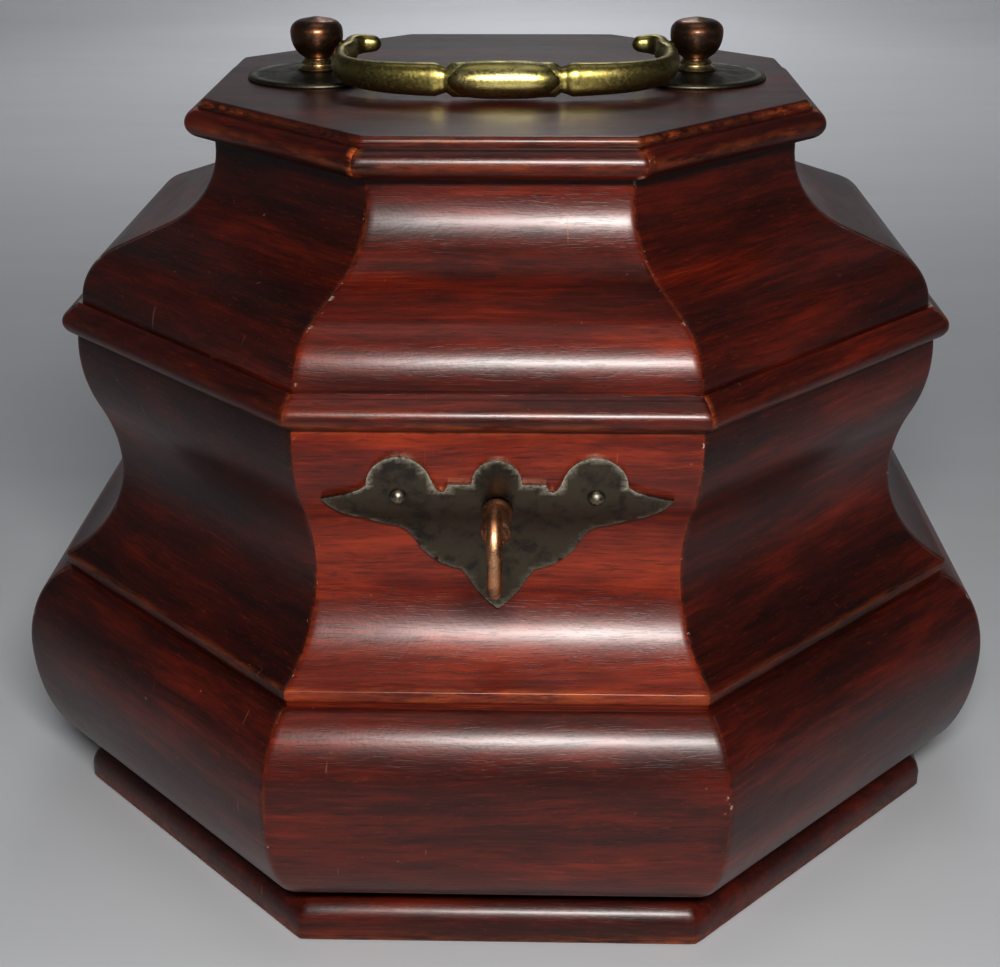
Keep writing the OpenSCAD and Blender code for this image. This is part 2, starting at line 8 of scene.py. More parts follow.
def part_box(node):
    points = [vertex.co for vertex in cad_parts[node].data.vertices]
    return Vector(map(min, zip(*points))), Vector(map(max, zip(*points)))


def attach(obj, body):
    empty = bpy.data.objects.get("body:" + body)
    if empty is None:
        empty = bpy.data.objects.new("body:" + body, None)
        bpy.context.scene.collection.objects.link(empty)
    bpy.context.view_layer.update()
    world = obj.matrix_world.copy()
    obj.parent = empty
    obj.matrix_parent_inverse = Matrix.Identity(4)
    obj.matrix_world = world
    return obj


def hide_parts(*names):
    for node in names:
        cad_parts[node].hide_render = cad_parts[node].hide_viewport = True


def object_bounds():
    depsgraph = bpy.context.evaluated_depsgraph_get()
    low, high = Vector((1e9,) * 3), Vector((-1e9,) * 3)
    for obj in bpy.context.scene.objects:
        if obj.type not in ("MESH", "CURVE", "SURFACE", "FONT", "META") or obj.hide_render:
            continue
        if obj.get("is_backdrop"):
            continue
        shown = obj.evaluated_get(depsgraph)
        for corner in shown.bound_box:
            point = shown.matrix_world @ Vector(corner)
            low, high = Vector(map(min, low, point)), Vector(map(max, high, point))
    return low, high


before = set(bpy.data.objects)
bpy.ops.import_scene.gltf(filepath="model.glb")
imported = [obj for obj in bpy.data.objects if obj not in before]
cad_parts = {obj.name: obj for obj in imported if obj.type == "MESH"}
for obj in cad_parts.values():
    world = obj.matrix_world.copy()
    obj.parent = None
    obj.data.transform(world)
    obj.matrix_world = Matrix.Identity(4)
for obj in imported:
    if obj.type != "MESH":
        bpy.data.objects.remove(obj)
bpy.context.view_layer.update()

MM = 0.001
HALF_SIDE = math.tan(math.radians(22.5))    # half a side of the octagon, over its reach
SIDES = ["front", "front_right", "right", "back_right", "back", "back_left", "left", "front_left"]
SCENE = bpy.context.scene


def cad(node):
    """Lowest and highest corner of a CAD node, in mm."""
    lo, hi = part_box(node)
    return [v / MM for v in lo], [v / MM for v in hi]


# ---------------------------------------------------------------- mesh helpers

def arc(c, rx, ry, a0, a1, n):
    """Points along an ellipse about c, from a0 to a1 degrees, in n steps."""
    out = []
    for i in range(n + 1):
        a = math.radians(a0 + (a1 - a0) * i / n)
        out.append((c[0] + rx * math.cos(a), c[1] + ry * math.sin(a)))
    return out


def densify(points, step):
    """Adds points on the straight stretches longer than step."""
    out = [points[0]]
    for a, b in zip(points, points[1:]):
        n = max(1, int(math.dist(a, b) / step))
        out += [(a[0] + (b[0] - a[0]) * i / n, a[1] + (b[1] - a[1]) * i / n) for i in range(1, n + 1)]
    return out


def soften(points, radius, sharp=20):
    """Rounds the corners of an open outline that turn by more than sharp degrees."""
    out = [points[0]]
    for p, q, r in zip(points, points[1:], points[2:]):
        a, b = Vector(p) - Vector(q), Vector(r) - Vector(q)
        turn = 180 - math.degrees(a.angle(b)) if a.length > 1e-6 and b.length > 1e-6 else 0
        if turn < sharp:
            out.append(q)
            continue
        d = min(radius, a.length * 0.45, b.length * 0.45)
        s, e = Vector(q) + a.normalized() * d, Vector(q) + b.normalized() * d
        for t in (0, 0.25, 0.5, 0.75, 1):
            v = s * (1 - t) ** 2 + Vector(q) * 2 * t * (1 - t) + e * t * t
            out.append((v.x, v.y))
    out.append(points[-1])
    return out


def new_object(name, bm, material, smooth=35):
    """Makes bm an object with the material, smooth but for edges sharper than smooth degrees."""
    mesh = bpy.data.meshes.new(name)
    bm.normal_update()
    bm.to_mesh(mesh)
    bm.free()
    obj = bpy.data.objects.new(name, mesh)
    SCENE.collection.objects.link(obj)
    mesh.materials.append(material)
    mesh.shade_smooth()
    mesh.set_sharp_from_angle(angle=math.radians(smooth))
    return obj


def place(obj, body, slot, *nodes):
    """Puts obj on its body, in place of the CAD nodes; slot is not used."""
    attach(obj, body)
    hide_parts(*nodes)
    return obj


def cut(obj, cutters):
    """Takes the cutters' shapes out of obj's own mesh."""
    bpy.context.view_layer.update()
    for c in cutters:
        m = obj.modifiers.new("cut", "BOOLEAN")
        m.operation, m.object, m.solver = "DIFFERENCE", c, "EXACT"
    graph = bpy.context.evaluated_depsgraph_get()
    mesh = bpy.data.meshes.new_from_object(obj.evaluated_get(graph))
    obj.modifiers.clear()
    old, obj.data = obj.data, mesh
    bpy.data.meshes.remove(old)
    for c in cutters:
        bpy.data.objects.remove(c)


def cutter(bm):
    """Makes bm an object for cut()."""
    mesh = bpy.data.meshes.new("cutter")
    bm.to_mesh(mesh)
    bm.free()
    obj = bpy.data.objects.new("cutter", mesh)
    SCENE.collection.objects.link(obj)
    return obj


def block(lo, hi):
    """A cutter box between two corners (mm)."""
    bm = bmesh.new()
    bmesh.ops.create_cube(bm, size=1)
    size = Vector(hi) - Vector(lo)
    middle = (Vector(hi) + Vector(lo)) / 2
    for v in bm.verts:
        v.co = Vector((v.co.x * size.x, v.co.y * size.y, v.co.z * size.z)) + middle
        v.co *= MM
    return cutter(bm)


def rod(p, axis, r, length):
    """A cutter rod of radius r from p along axis (mm)."""
    bm = bmesh.new()
    turn = Vector((0, 0, 1)).rotation_difference(Vector(axis)).to_matrix().to_4x4()
    bmesh.ops.create_cone(bm, cap_ends=True, segments=40, radius1=r * MM, radius2=r * MM, depth=length * MM,
                          matrix=Matrix.Translation((Vector(p) + Vector(axis) * length / 2) * MM) @ turn)
    return cutter(bm)


def rings_mesh(bm, rings, closed=False):
    """Skins a list of rings of points (mm) into bm: a loop if closed, or else with a cap at each end."""
    made = [[bm.verts.new(Vector(p) * MM) for p in ring] for ring in rings]
    k = len(made[0])
    pairs = list(zip(made, made[1:])) + ([(made[-1], made[0])] if closed else [])
    for a, b in pairs:
        for j in range(k):
            bm.faces.new((a[j], a[(j + 1) % k], b[(j + 1) % k], b[j]))
    if not closed:
        bm.faces.new(list(reversed(made[0])))
        bm.faces.new(made[-1])


def lathe(bm, profile, place_at, n=72, wobble=0.0, seed=0.0):
    """Turns (radius, height) points about the local Z of the matrix place_at (mm), a little out of round."""
    rings = []
    for r, h in profile:
        ring = []
        for j in range(n):
            a = 2 * math.pi * j / n
            k = 1 + wobble * noise.noise(Vector((math.cos(a) * 1.5, math.sin(a) * 1.5, h * 0.2 + seed)))
            wide = max(r, 0.01) * k
            ring.append(place_at @ Vector((wide * math.cos(a), wide * math.sin(a), h)))
        rings.append(ring)
    rings_mesh(bm, rings)
    bmesh.ops.recalc_face_normals(bm, faces=bm.faces)


# ---------------------------------------------------------------- node helpers

class Nodes:
    """A material's node tree with a Principled shader, and short ways to add nodes to it."""

    def __init__(self, name):
        self.material = bpy.data.materials.new(name)
        self.material.use_nodes = True
        self.tree = self.material.node_tree
        self.tree.nodes.clear()
        self.out = self.tree.nodes.new("ShaderNodeOutputMaterial")
        self.bsdf = self.tree.nodes.new("ShaderNodeBsdfPrincipled")
        self.link(self.bsdf.outputs[0], self.out.inputs[0])

    def link(self, a, b):
        self.tree.links.new(a, b)

    def put(self, socket, value):
        if isinstance(value, bpy.types.NodeSocket):
            self.link(value, socket)
        elif value is not None:
            socket.default_value = value

    def node(self, kind, **inputs):
        n = self.tree.nodes.new(kind)
        for k, v in inputs.items():
            self.put(n.inputs[k.replace("_", " ")], v)
        return n

    def attr(self, name, vector=False):
        n = self.tree.nodes.new("ShaderNodeAttribute")
        n.attribute_name = name
        return n.outputs["Vector" if vector else "Fac"]

    def coords(self):
        return self.tree.nodes.new("ShaderNodeTexCoord").outputs["Object"]

    def stretch(self, vector, scale, shift=(0, 0, 0)):
        n = self.node("ShaderNodeMapping", Vector=vector)
        n.inputs["Scale"].default_value = scale
        n.inputs["Location"].default_value = shift
        return n.outputs[0]

    def noise(self, vector, scale=1.0, detail=4.0, rough=0.55, distort=0.0):
        n = self.node("ShaderNodeTexNoise", Vector=vector, Scale=scale, Detail=detail, Roughness=rough,
                      Distortion=distort)
        return n.outputs["Fac"]

    def noise_vector(self, vector, scale, detail=3.0):
        return self.node("ShaderNodeTexNoise", Vector=vector, Scale=scale, Detail=detail).outputs["Color"]

    def math(self, op, a, b=None, c=None, clamp=False):
        n = self.tree.nodes.new("ShaderNodeMath")
        n.operation, n.use_clamp = op, clamp
        for i, v in enumerate((a, b, c)):
            self.put(n.inputs[i], v)
        return n.outputs[0]

    def vmath(self, op, a, b=None, scale=None):
        n = self.tree.nodes.new("ShaderNodeVectorMath")
        n.operation = op
        self.put(n.inputs[0], a)
        if b is not None:
            self.put(n.inputs[1], b)
        if scale is not None:
            n.inputs["Scale"].default_value = scale
        return n.outputs[0]

    def range(self, value, a, b, lo=0.0, hi=1.0):
        n = self.tree.nodes.new("ShaderNodeMapRange")
        n.interpolation_type = "SMOOTHSTEP"
        for i, v in enumerate((value, a, b, lo, hi)):
            self.put(n.inputs[i], v)
        return n.outputs[0]

    def ramp(self, fac, stops):
        n = self.tree.nodes.new("ShaderNodeValToRGB")
        self.put(n.inputs[0], fac)
        el = n.color_ramp.elements
        while len(el) < len(stops):
            el.new(0.5)
        for e, (p, c) in zip(el, stops):
            e.position, e.color = p, (*c, 1)
        return n.outputs[0]

    def mix(self, fac, a, b):
        n = self.tree.nodes.new("ShaderNodeMix")
        n.data_type = "RGBA"
        self.put(n.inputs[0], fac)
        # sockets 6 and 7, and output 2, are the colour ones
        self.put(n.inputs[6], a if isinstance(a, bpy.types.NodeSocket) else (*a, 1))
        self.put(n.inputs[7], b if isinstance(b, bpy.types.NodeSocket) else (*b, 1))
        return n.outputs[2]

    def bump(self, height, strength, distance, normal=None):
        n = self.tree.nodes.new("ShaderNodeBump")
        n.inputs["Strength"].default_value = strength
        n.inputs["Distance"].default_value = distance
        self.put(n.inputs["Height"], height)
        if normal is not None:
            self.put(n.inputs["Normal"], normal)
        return n.outputs[0]

    def set(self, **values):
        """Sets the shader's sockets; Base_Color stands for Base Color."""
        for k, v in values.items():
            self.put(self.bsdf.inputs[k.replace("_", " ")], v)


# ---------------------------------------------------------------- materials

def mahogany():
    """Polished mahogany.

    It reads four attributes: grain is the place (along the plank, across, up) in mm, wear is 1 on worn edges,
    mitre is 1 at the plank's ends, and tone makes a plank darker or lighter.
    """
    m = Nodes("mahogany_polish")
    g = m.attr("grain", vector=True)
    drift = m.noise_vector(m.stretch(g, (0.012, 0.03, 0.03)), 1.0)
    bend = m.vmath("SCALE", m.vmath("SUBTRACT", drift, (0.5,) * 3), scale=9.0)
    bent = m.vmath("ADD", g, bend)
    streak = m.noise(m.stretch(bent, (0.045, 0.60, 0.60)), 1.0, 6.0, 0.65)
    figure = m.noise(m.stretch(bent, (0.014, 0.075, 0.075), (3, 1, 2)), 1.0, 3.0, 0.5)
    ribbon = m.noise(m.stretch(bent, (0.05, 0.16, 0.16), (9, 4, 7)), 1.0, 4.0, 0.6)
    pores = m.noise(m.stretch(bent, (0.16, 3.2, 3.2), (5, 5, 5)), 1.0, 2.0, 0.5)
    fine = m.noise(m.stretch(bent, (0.35, 2.1, 2.1), (2, 8, 1)), 1.0, 3.0, 0.6)
    tone = m.attr("tone")
    threads = m.noise(m.stretch(bent, (0.10, 1.7, 1.7), (6, 2, 4)), 1.0, 3.0, 0.6)
    mixed = m.math("ADD", m.math("MULTIPLY", streak, 0.27), m.math("MULTIPLY", figure, 0.46))
    mixed = m.math("ADD", mixed, m.math("MULTIPLY", ribbon, 0.20))
    mixed = m.math("ADD", mixed, m.math("MULTIPLY", threads, 0.15))
    mixed = m.math("ADD", mixed, 0.04)
    mixed = m.math("ADD", mixed, m.math("MULTIPLY", m.math("SUBTRACT", tone, 0.5), 0.6))
    colour = m.ramp(mixed, [(0.46, (0.016, 0.0022, 0.0010)), (0.57, (0.050, 0.0050, 0.0016)),
                            (0.67, (0.120, 0.0110, 0.0026)), (0.80, (0.270, 0.034, 0.0070))])
    pore_mask = m.range(pores, 0.56, 0.68)
    colour = m.mix(m.math("MULTIPLY", pore_mask, 0.45), colour, (0.012, 0.0025, 0.0015))
    fleck = m.math("MULTIPLY", m.range(fine, 0.58, 0.74), 0.22)
    colour = m.mix(fleck, colour, (0.30, 0.050, 0.012))
    # worn edges, rubbed through to orange wood
    rub = m.noise(m.stretch(g, (0.10, 0.5, 0.5), (1, 2, 3)), 1.0, 5.0, 0.7)
    wear = m.math("MULTIPLY", m.attr("wear"), m.range(rub, 0.36, 0.66), clamp=True)
    colour = m.mix(m.math("MULTIPLY", wear, 0.85), colour, (0.48, 0.115, 0.024))
    chip = m.noise(m.stretch(g, (0.35, 0.35, 0.35), (7, 7, 7)), 1.0, 3.0, 0.6)
    chips = m.math("MULTIPLY", m.attr("mitre"), m.range(chip, 0.64, 0.69))
    colour = m.mix(chips, colour, (0.48, 0.40, 0.33))
    # a few pale scuffs and fine scratches in the polish
    spots = m.noise(m.stretch(g, (0.55, 0.55, 0.55), (11, 3, 5)), 1.0, 2.0, 0.5)
    where = m.noise(m.stretch(g, (0.02, 0.02, 0.02), (4, 2, 8)), 1.0, 1.0, 0.5)
    scuff = m.math("MULTIPLY", m.range(spots, 0.735, 0.78), m.range(where, 0.50, 0.60))
    lines = m.noise(m.stretch(g, (0.9, 0.12, 0.05), (2, 5, 9)), 1.0, 2.0, 0.5, 0.4)
    scratch = m.math("MULTIPLY", m.range(lines, 0.748, 0.765), m.range(where, 0.44, 0.54))
    marks = m.math("MAXIMUM", m.math("MULTIPLY", scuff, 0.5), m.math("MULTIPLY", scratch, 0.4))
    colour = m.mix(marks, colour, (0.34, 0.16, 0.10))
    smear = m.noise(m.stretch(g, (0.03, 0.06, 0.06), (6, 1, 1)), 1.0, 4.0, 0.6)
    dull = m.math("MULTIPLY", m.math("MAXIMUM", wear, marks), 0.18)
    rough = m.math("ADD", m.range(smear, 0.3, 0.75, 0.35, 0.43), dull)
    # relief: fine grain, open pores and marks over the slow waves of hand polishing
    h = m.math("ADD", m.math("MULTIPLY", streak, 0.5), m.math("MULTIPLY", pore_mask, -0.5))
    h = m.math("ADD", h, m.math("MULTIPLY", marks, -0.6))
    orange_peel = m.noise(m.stretch(g, (1.1, 1.3, 1.3), (3, 3, 8)), 1.0, 2.0, 0.5)
    h = m.math("ADD", h, m.math("MULTIPLY", orange_peel, 0.9))
    waves = m.bump(m.noise(m.stretch(g, (0.02, 0.05, 0.05)), 1.0, 2.0, 0.5), 0.25, 0.0006)
    m.set(Base_Color=colour, Roughness=rough, Normal=m.bump(h, 0.40, 0.00007, waves), IOR=1.5,
          Specular_IOR_Level=0.36, Coat_Weight=0.36, Coat_Roughness=0.26, Coat_IOR=1.5, Coat_Normal=waves)
    return m.material


def metal(name, base, dark, bright, rough, patina=0.5, bump=0.4, scale=1.0, pits=0.0, polish_and_sheen=None, lacquer=0.0):
    """Aged metal: a patina in blotches, brighter rubbed places, fine scratches and small pits.

    Given a pale colour, the places where the attribute wear is 1 take it: rubbed metal, and on the escutcheon
    also a painted highlight on its upper lobes.
    """
    m = Nodes(name)
    p = m.vmath("SCALE", m.coords(), scale=1000.0 * scale)
    blotch = m.noise(m.stretch(p, (0.22, 0.22, 0.22), (3, 7, 1)), 1.0, 6.0, 0.62, 0.3)
    fine = m.noise(m.stretch(p, (1.6, 1.6, 1.6), (1, 2, 3)), 1.0, 5.0, 0.65)
    hair = m.noise(m.stretch(p, (0.7, 5.0, 4.0), (5, 5, 5)), 1.0, 2.0, 0.5)
    tarnish = m.range(blotch, 0.62 - patina * 0.35, 0.78 - patina * 0.25)
    colour = m.mix(tarnish, base, dark)
    colour = m.mix(m.math("MULTIPLY", m.range(fine, 0.52, 0.75), 0.45), colour, bright)
    # rubbed places take the pale colour; on the escutcheon this also paints a highlight on the upper lobes' edges
    if polish_and_sheen is not None:
        rubbed = m.math("MULTIPLY", m.attr("wear"), m.range(fine, 0.25, 0.6), clamp=True)
        colour = m.mix(rubbed, colour, polish_and_sheen)
    pit = m.range(m.noise(m.stretch(p, (2.4, 2.4, 2.4), (9, 9, 9)), 1.0, 2.0, 0.5), 0.62, 0.72)
    if pits:
        colour = m.mix(m.math("MULTIPLY", pit, pits), colour, dark)
    r = m.math("ADD", m.range(fine, 0.3, 0.8, rough - 0.07, rough + 0.10), m.math("MULTIPLY", tarnish, 0.12))
    h = m.math("ADD", m.math("MULTIPLY", fine, 0.6), m.math("MULTIPLY", hair, 0.35))
    h = m.math("SUBTRACT", h, m.math("MULTIPLY", pit, pits))
    waves = m.bump(blotch, 0.3 * bump, 0.0004)
    m.set(Base_Color=colour, Roughness=r, Normal=m.bump(h, bump, 0.00007, waves), Metallic=1.0,
          Coat_Weight=lacquer, Coat_Roughness=0.15)
    return m.material


WOOD = mahogany()
BAIL = metal("bail_brass_patina", (0.30, 0.25, 0.085), (0.10, 0.085, 0.03), (0.46, 0.40, 0.16),
             rough=0.34, patina=0.45, bump=0.35, polish_and_sheen=(0.52, 0.46, 0.22))
# its pale edge colour paints worn edges, and on the upper lobes also a painted highlight
DARK = metal("escutcheon_patina", (0.105, 0.088, 0.064), (0.064, 0.056, 0.048), (0.150, 0.112, 0.072),
             rough=0.40, bump=0.35, pits=0.35, polish_and_sheen=(0.62, 0.57, 0.46))
DISC = metal("rosette_patina", (0.085, 0.078, 0.055), (0.045, 0.042, 0.033), (0.13, 0.115, 0.08),
             rough=0.42, bump=0.35, pits=0.3, polish_and_sheen=(0.17, 0.15, 0.105))
KNOB = metal("knob_bronze", (0.20, 0.090, 0.048), (0.070, 0.046, 0.032), (0.28, 0.130, 0.070),
             rough=0.40, bump=0.35, polish_and_sheen=(0.62, 0.55, 0.30), lacquer=0.25)
KEY = metal("key_copper", (0.46, 0.215, 0.105), (0.130, 0.060, 0.034), (0.64, 0.36, 0.20),
            rough=0.40, patina=0.56, bump=0.8, scale=1.5, pits=0.5, polish_and_sheen=(0.76, 0.50, 0.32))
FITTING = metal("fitting_brass", (0.42, 0.32, 0.13), (0.17, 0.12, 0.05), (0.60, 0.48, 0.22),
                rough=0.36, patina=0.45)
STEEL = metal("old_steel", (0.30, 0.29, 0.28), (0.12, 0.09, 0.07), (0.45, 0.44, 0.43),
              rough=0.38, patina=0.45)


# ---------------------------------------------------------------- wooden tiers

def wood_layers(mesh):
    """Makes the attributes that the wood reads, and gives them once all of them exist."""
    for name, kind in (("grain", "FLOAT_VECTOR"), ("wear", "FLOAT"), ("tone", "FLOAT"), ("mitre", "FLOAT")):
        mesh.attributes.new(name, kind, "POINT")
    return [mesh.attributes[name] for name in ("grain", "wear", "tone", "mitre")]


def grain_attributes(obj, side, wears, tone, shift=0.0, ends=0.35, end_reach=0.9):
    """Stores each vertex's place in its plank (mm), how worn it is and how near a mitre it lies.

    wears lists worn edges as (reach, height, width of the worn strip, amount).
    """
    turn = Matrix.Rotation(math.radians(-(180 + 45 * side)), 3, "Z")
    mesh = obj.data
    grain, wear, tones, mitre = wood_layers(mesh)
    for i, v in enumerate(mesh.vertices):
        p = turn @ (v.co / MM)
        u, a, z = p.x, p.y, p.z
        w = 0.0
        for wa, wz, reach, amount in wears:
            d = math.hypot(a - wa, z - wz)
            w = max(w, amount * max(0.0, 1 - d / reach))
        end = max(0.0, 1 - (a * HALF_SIDE - abs(u)) / end_reach)
        patchy = 0.5 + 0.9 * noise.noise(Vector((u * 0.05, z * 0.06, side * 3.1)))
        grain.data[i].vector = (u + 37.0 * side + shift, a, z + 11.0 * side)
        wear.data[i].value = max(w * max(0.0, min(1.0, patchy + 0.35)), ends * end * max(0.0, patchy))
        tones.data[i].value = tone
        mitre.data[i].value = end


# places along a plank where it has vertices, closer together towards the mitres
COLUMNS = [0.16, 0.32, 0.48, 0.62, 0.75, 0.86, 0.93, 0.965, 0.982, 0.991, 0.996, 0.9985, 1]
COLUMNS = [-t for t in reversed(COLUMNS)] + [0] + COLUMNS
ARRIS_REACH, ARRIS = 1.1, 0.22      # how far from a mitre its arris is eased, and by how much (mm)


def plank(name, outer, inner, side, gap=0.03, wave=0.05):
    """A mitred plank: outer and inner are outlines (reach, height), both going up, and wave is its unevenness."""
    outer = densify(outer, 2.2)
    tangents = []
    for i in range(len(outer)):
        a, b = outer[max(0, i - 1)], outer[min(len(outer) - 1, i + 1)]
        t = Vector((b[0] - a[0], b[1] - a[1])).normalized()
        tangents.append((t.y, -t.x))
    ring_profile = [(p, n) for p, n in zip(outer, tangents)] + [(p, (0, 0)) for p in reversed(inner)]
    turn = Matrix.Rotation(math.radians(180 + 45 * side), 3, "Z")
    rings = []
    for t in COLUMNS:
        ring = []
        for (a, z), (na, nz) in ring_profile:
            half = a * HALF_SIDE - gap
            x = t * half
            edge = max(0.0, 1 - (half - abs(x)) / ARRIS_REACH)
            drop = ARRIS * edge * edge
            soft = wave * noise.noise(Vector((x * 0.035, z * 0.05, a * 0.05 + side * 7.3)))
            drop += max(0.0, wave * 0.6 - soft)
            ring.append(turn @ Vector((x, a - na * drop, z - nz * drop)))
        rings.append(ring)
    bm = bmesh.new()
    rings_mesh(bm, rings)
    bmesh.ops.recalc_face_normals(bm, faces=bm.faces)
    return new_object(name, bm, WOOD, 40)


def ogee_radius(dx, dz):
    """Radius of two equal arcs that make an S with the rise dx over the height dz."""
    return (dx * dx + dz * dz) / (4 * dx)


# the tiers' outlines, (reach, height) in mm going up; their ends come from the CAD nodes' boxes
belly_lo, belly_hi = cad("belly_stave_left")
waist_lo, waist_hi = cad("waist_stave_left")
rim_lo, rim_hi = cad("lid_rim_left")
dome_lo, dome_hi = cad("dome_stave_left")
base_lo, base_hi = cad("base_board")
top_lo, top_hi = cad("top_board")
bead_lo, bead_hi = cad("top_moulding")
floor_lo, floor_hi = cad("bottom_board")
key_lo, key_hi = cad("key")

BELLY_PEAK, SWELL, ABOVE = 41.0, 12, 19.8       # height of the widest line, depth and upper height of the swell
belly_centre = (-belly_lo[0] - SWELL, BELLY_PEAK)
swell_end = math.degrees(math.asin((belly_hi[2] - BELLY_PEAK) / ABOVE))
BELLY_OUT = arc(belly_centre, SWELL, BELLY_PEAK - belly_lo[2], -90, 0, 26) + \
    arc(belly_centre, SWELL, ABOVE, 4, swell_end, 20)

LEDGE, LEDGE_Z = -waist_lo[0], 64.3
WAIST_FOOT, WAIST_TOP = waist_lo[2], waist_hi[2]
NARROW, NARROW_Z = LEDGE - 14.2, 85.5
MOUTH, MOUTH_Z = LEDGE - 7.7, WAIST_TOP - 4.0
FLARE_R = 23
S_R = ogee_radius(MOUTH - NARROW, MOUTH_Z - NARROW_Z)
S_A = math.degrees(math.asin((MOUTH_Z - NARROW_Z) / 2 / S_R))
FLARE_A = math.degrees(math.asin((NARROW_Z - LEDGE_Z) / FLARE_R))
CROWN_A = math.degrees(math.asin((WAIST_TOP - MOUTH_Z) / S_R))


def waist_line(t=0.0, n=22):
    """The waist's face from the ledge to the top, pushed out by t: flare, hollow and crown."""
    return arc((NARROW + FLARE_R, NARROW_Z), FLARE_R - t, FLARE_R - t, 180 + FLARE_A, 180, n) + \
        arc((NARROW + S_R, NARROW_Z), S_R - t, S_R - t, 180, 180 - S_A, n)[1:] + \
        arc((MOUTH - S_R, MOUTH_Z), S_R + t, S_R + t, -S_A, CROWN_A, n)[1:]


WAIST_OUT = soften([(LEDGE - 0.6, WAIST_FOOT), (LEDGE - 0.6, WAIST_FOOT + 0.8), (LEDGE, WAIST_FOOT + 1.8),
                    (LEDGE, LEDGE_Z - 0.2)] + waist_line(), 0.45)

RIM_R, RIM_Z, RIM_TOP = -rim_lo[0], rim_lo[2], rim_hi[2]
FOOT = -dome_lo[0]
RIM_OUT = [(RIM_R - 5, RIM_Z)] + arc((RIM_R - 3.4, RIM_Z + 2.8), 3.4, 3.0, -69, 56, 24) + \
    arc((RIM_R - 1.6, RIM_TOP + 1.3), 2.6, 1.9, 250, 205, 8)[:-1] + [(FOOT, RIM_TOP)]

NECK, NECK_TOP = 65.0, dome_hi[2]
SHOULDER_R, HOLLOW_R, SLOPE_A = 12.3, 17.7, 70
shoulder, hollow = (FOOT - SHOULDER_R, RIM_TOP + 0.7), (NECK + HOLLOW_R, 158.4)
lower = arc(shoulder, SHOULDER_R, SHOULDER_R, 0, SLOPE_A, 26)
upper = arc(hollow, HOLLOW_R, HOLLOW_R, 180 + SLOPE_A, 180, 26)
DOME_OUT = [(FOOT, RIM_TOP)] + lower + densify([lower[-1], upper[0]], 1.5)[1:] + upper[1:] + [(NECK, NECK_TOP)]

BEAD_R, BEAD_Z, LIP = -bead_lo[0], bead_lo[2], bead_hi[2]
bead_h = (LIP - BEAD_Z) / 2
BEAD_OUT = [(62.5, BEAD_Z)] + arc((BEAD_R - bead_h, BEAD_Z + bead_h), bead_h, bead_h, -90, 90, 26) + [(62.5, LIP)]

KEY_Z = (key_lo[2] + key_hi[2]) / 2
KEYHOLE_R, SLOT_X, SLOT_Z = 3.1, 1.3, KEY_Z - 6.2       # round hole, half width and foot of the slot under it
HINGES = ((-33, -7), (7, 33))                           # the two hinges' ends
HINGE_Y, HINGE_Z, KNUCKLE_R = 101.8, 118.65, 2.65

TONES = [0.67, 0.47, 0.45, 0.5, 0.52, 0.48, 0.5, 0.43]
for i, s in enumerate(SIDES):
    rubbed = 1.0 if s == "front" else 0.4

    o = plank("belly_" + s, BELLY_OUT, [(-belly_hi[0], belly_lo[2]), (-belly_hi[0], belly_hi[2])], i)
    grain_attributes(o, i, [], 0.52 if s == "front" else TONES[(i * 3) % 8])
    place(o, "caddy_body", "mahogany", "belly_stave_" + s)

    o = plank("waist_" + s, WAIST_OUT, [(-waist_hi[0], WAIST_FOOT), (-waist_hi[0], WAIST_TOP)], i)
    if s == "front":
        plate, case = cad("lock_plate"), cad("lock_case")
        cut(o, [block((plate[0][0], plate[1][1] - 1.2, plate[0][2]), (plate[1][0], -70, 130)),
                block(case[0], (case[1][0], -70, 130)),
                rod((0, -110, KEY_Z), (0, 1, 0), KEYHOLE_R, 40),
                block((-SLOT_X, -110, SLOT_Z), (SLOT_X, -80, KEY_Z))])
    if s == "back":
        cut(o, [block((x0, 88, 117.15), (x1, 108, 125)) for x0, x1 in HINGES])
    grain_attributes(o, i, [(LEDGE, LEDGE_Z, 1.0, rubbed), (LEDGE, WAIST_FOOT + 1.8, 1.1, 0.75 * rubbed),
                            (waist_line()[-1][0], WAIST_TOP, 1.0, 0.8 * rubbed)], TONES[i], shift=14)
    place(o, "caddy_body", "mahogany", "waist_stave_" + s)

    o = plank("rim_" + s, RIM_OUT, [(-rim_hi[0], RIM_Z), (-rim_hi[0], RIM_TOP)], i, wave=0.03)
    if s == "front":
        keeper = cad("keeper")
        cut(o, [block((keeper[0][0], keeper[0][1], RIM_Z - 1), (keeper[1][0], keeper[1][1], RIM_Z + 1.2))])
    if s == "back":
        cut(o, [block((x0, 88, 117), (x1, 108, 120.15)) for x0, x1 in HINGES]
            + [rod((x0, HINGE_Y, HINGE_Z), (1, 0, 0), KNUCKLE_R, x1 - x0) for x0, x1 in HINGES])
    grain_attributes(o, i, [(RIM_R - 0.6, RIM_Z + 4.0, 1.3, 0.3 * rubbed),
                            (RIM_R - 0.4, RIM_Z + 1.2, 1.6, 0.6 * rubbed)],
                     TONES[(i + 3) % 8], shift=5, ends=0.9, end_reach=1.4)
    place(o, "lid", "mahogany", "lid_rim_" + s)

    o = plank("dome_" + s, DOME_OUT, [(-rim_hi[0], RIM_TOP), (54, NECK_TOP)], i)
    grain_attributes(o, i, [], min(0.56, TONES[i]), shift=80)
    place(o, "lid", "mahogany", "dome_stave_" + s)

    o = plank("bead_" + s, BEAD_OUT, [(62, BEAD_Z), (62, LIP)], i, gap=0.05, wave=0.03)
    grain_attributes(o, i, [(BEAD_R, BEAD_Z + bead_h, 1.8, 0.45)], TONES[(i + 5) % 8] - 0.03, shift=31, ends=1.5,
                     end_reach=2.0)
    place(o, "lid", "mahogany", "top_moulding")


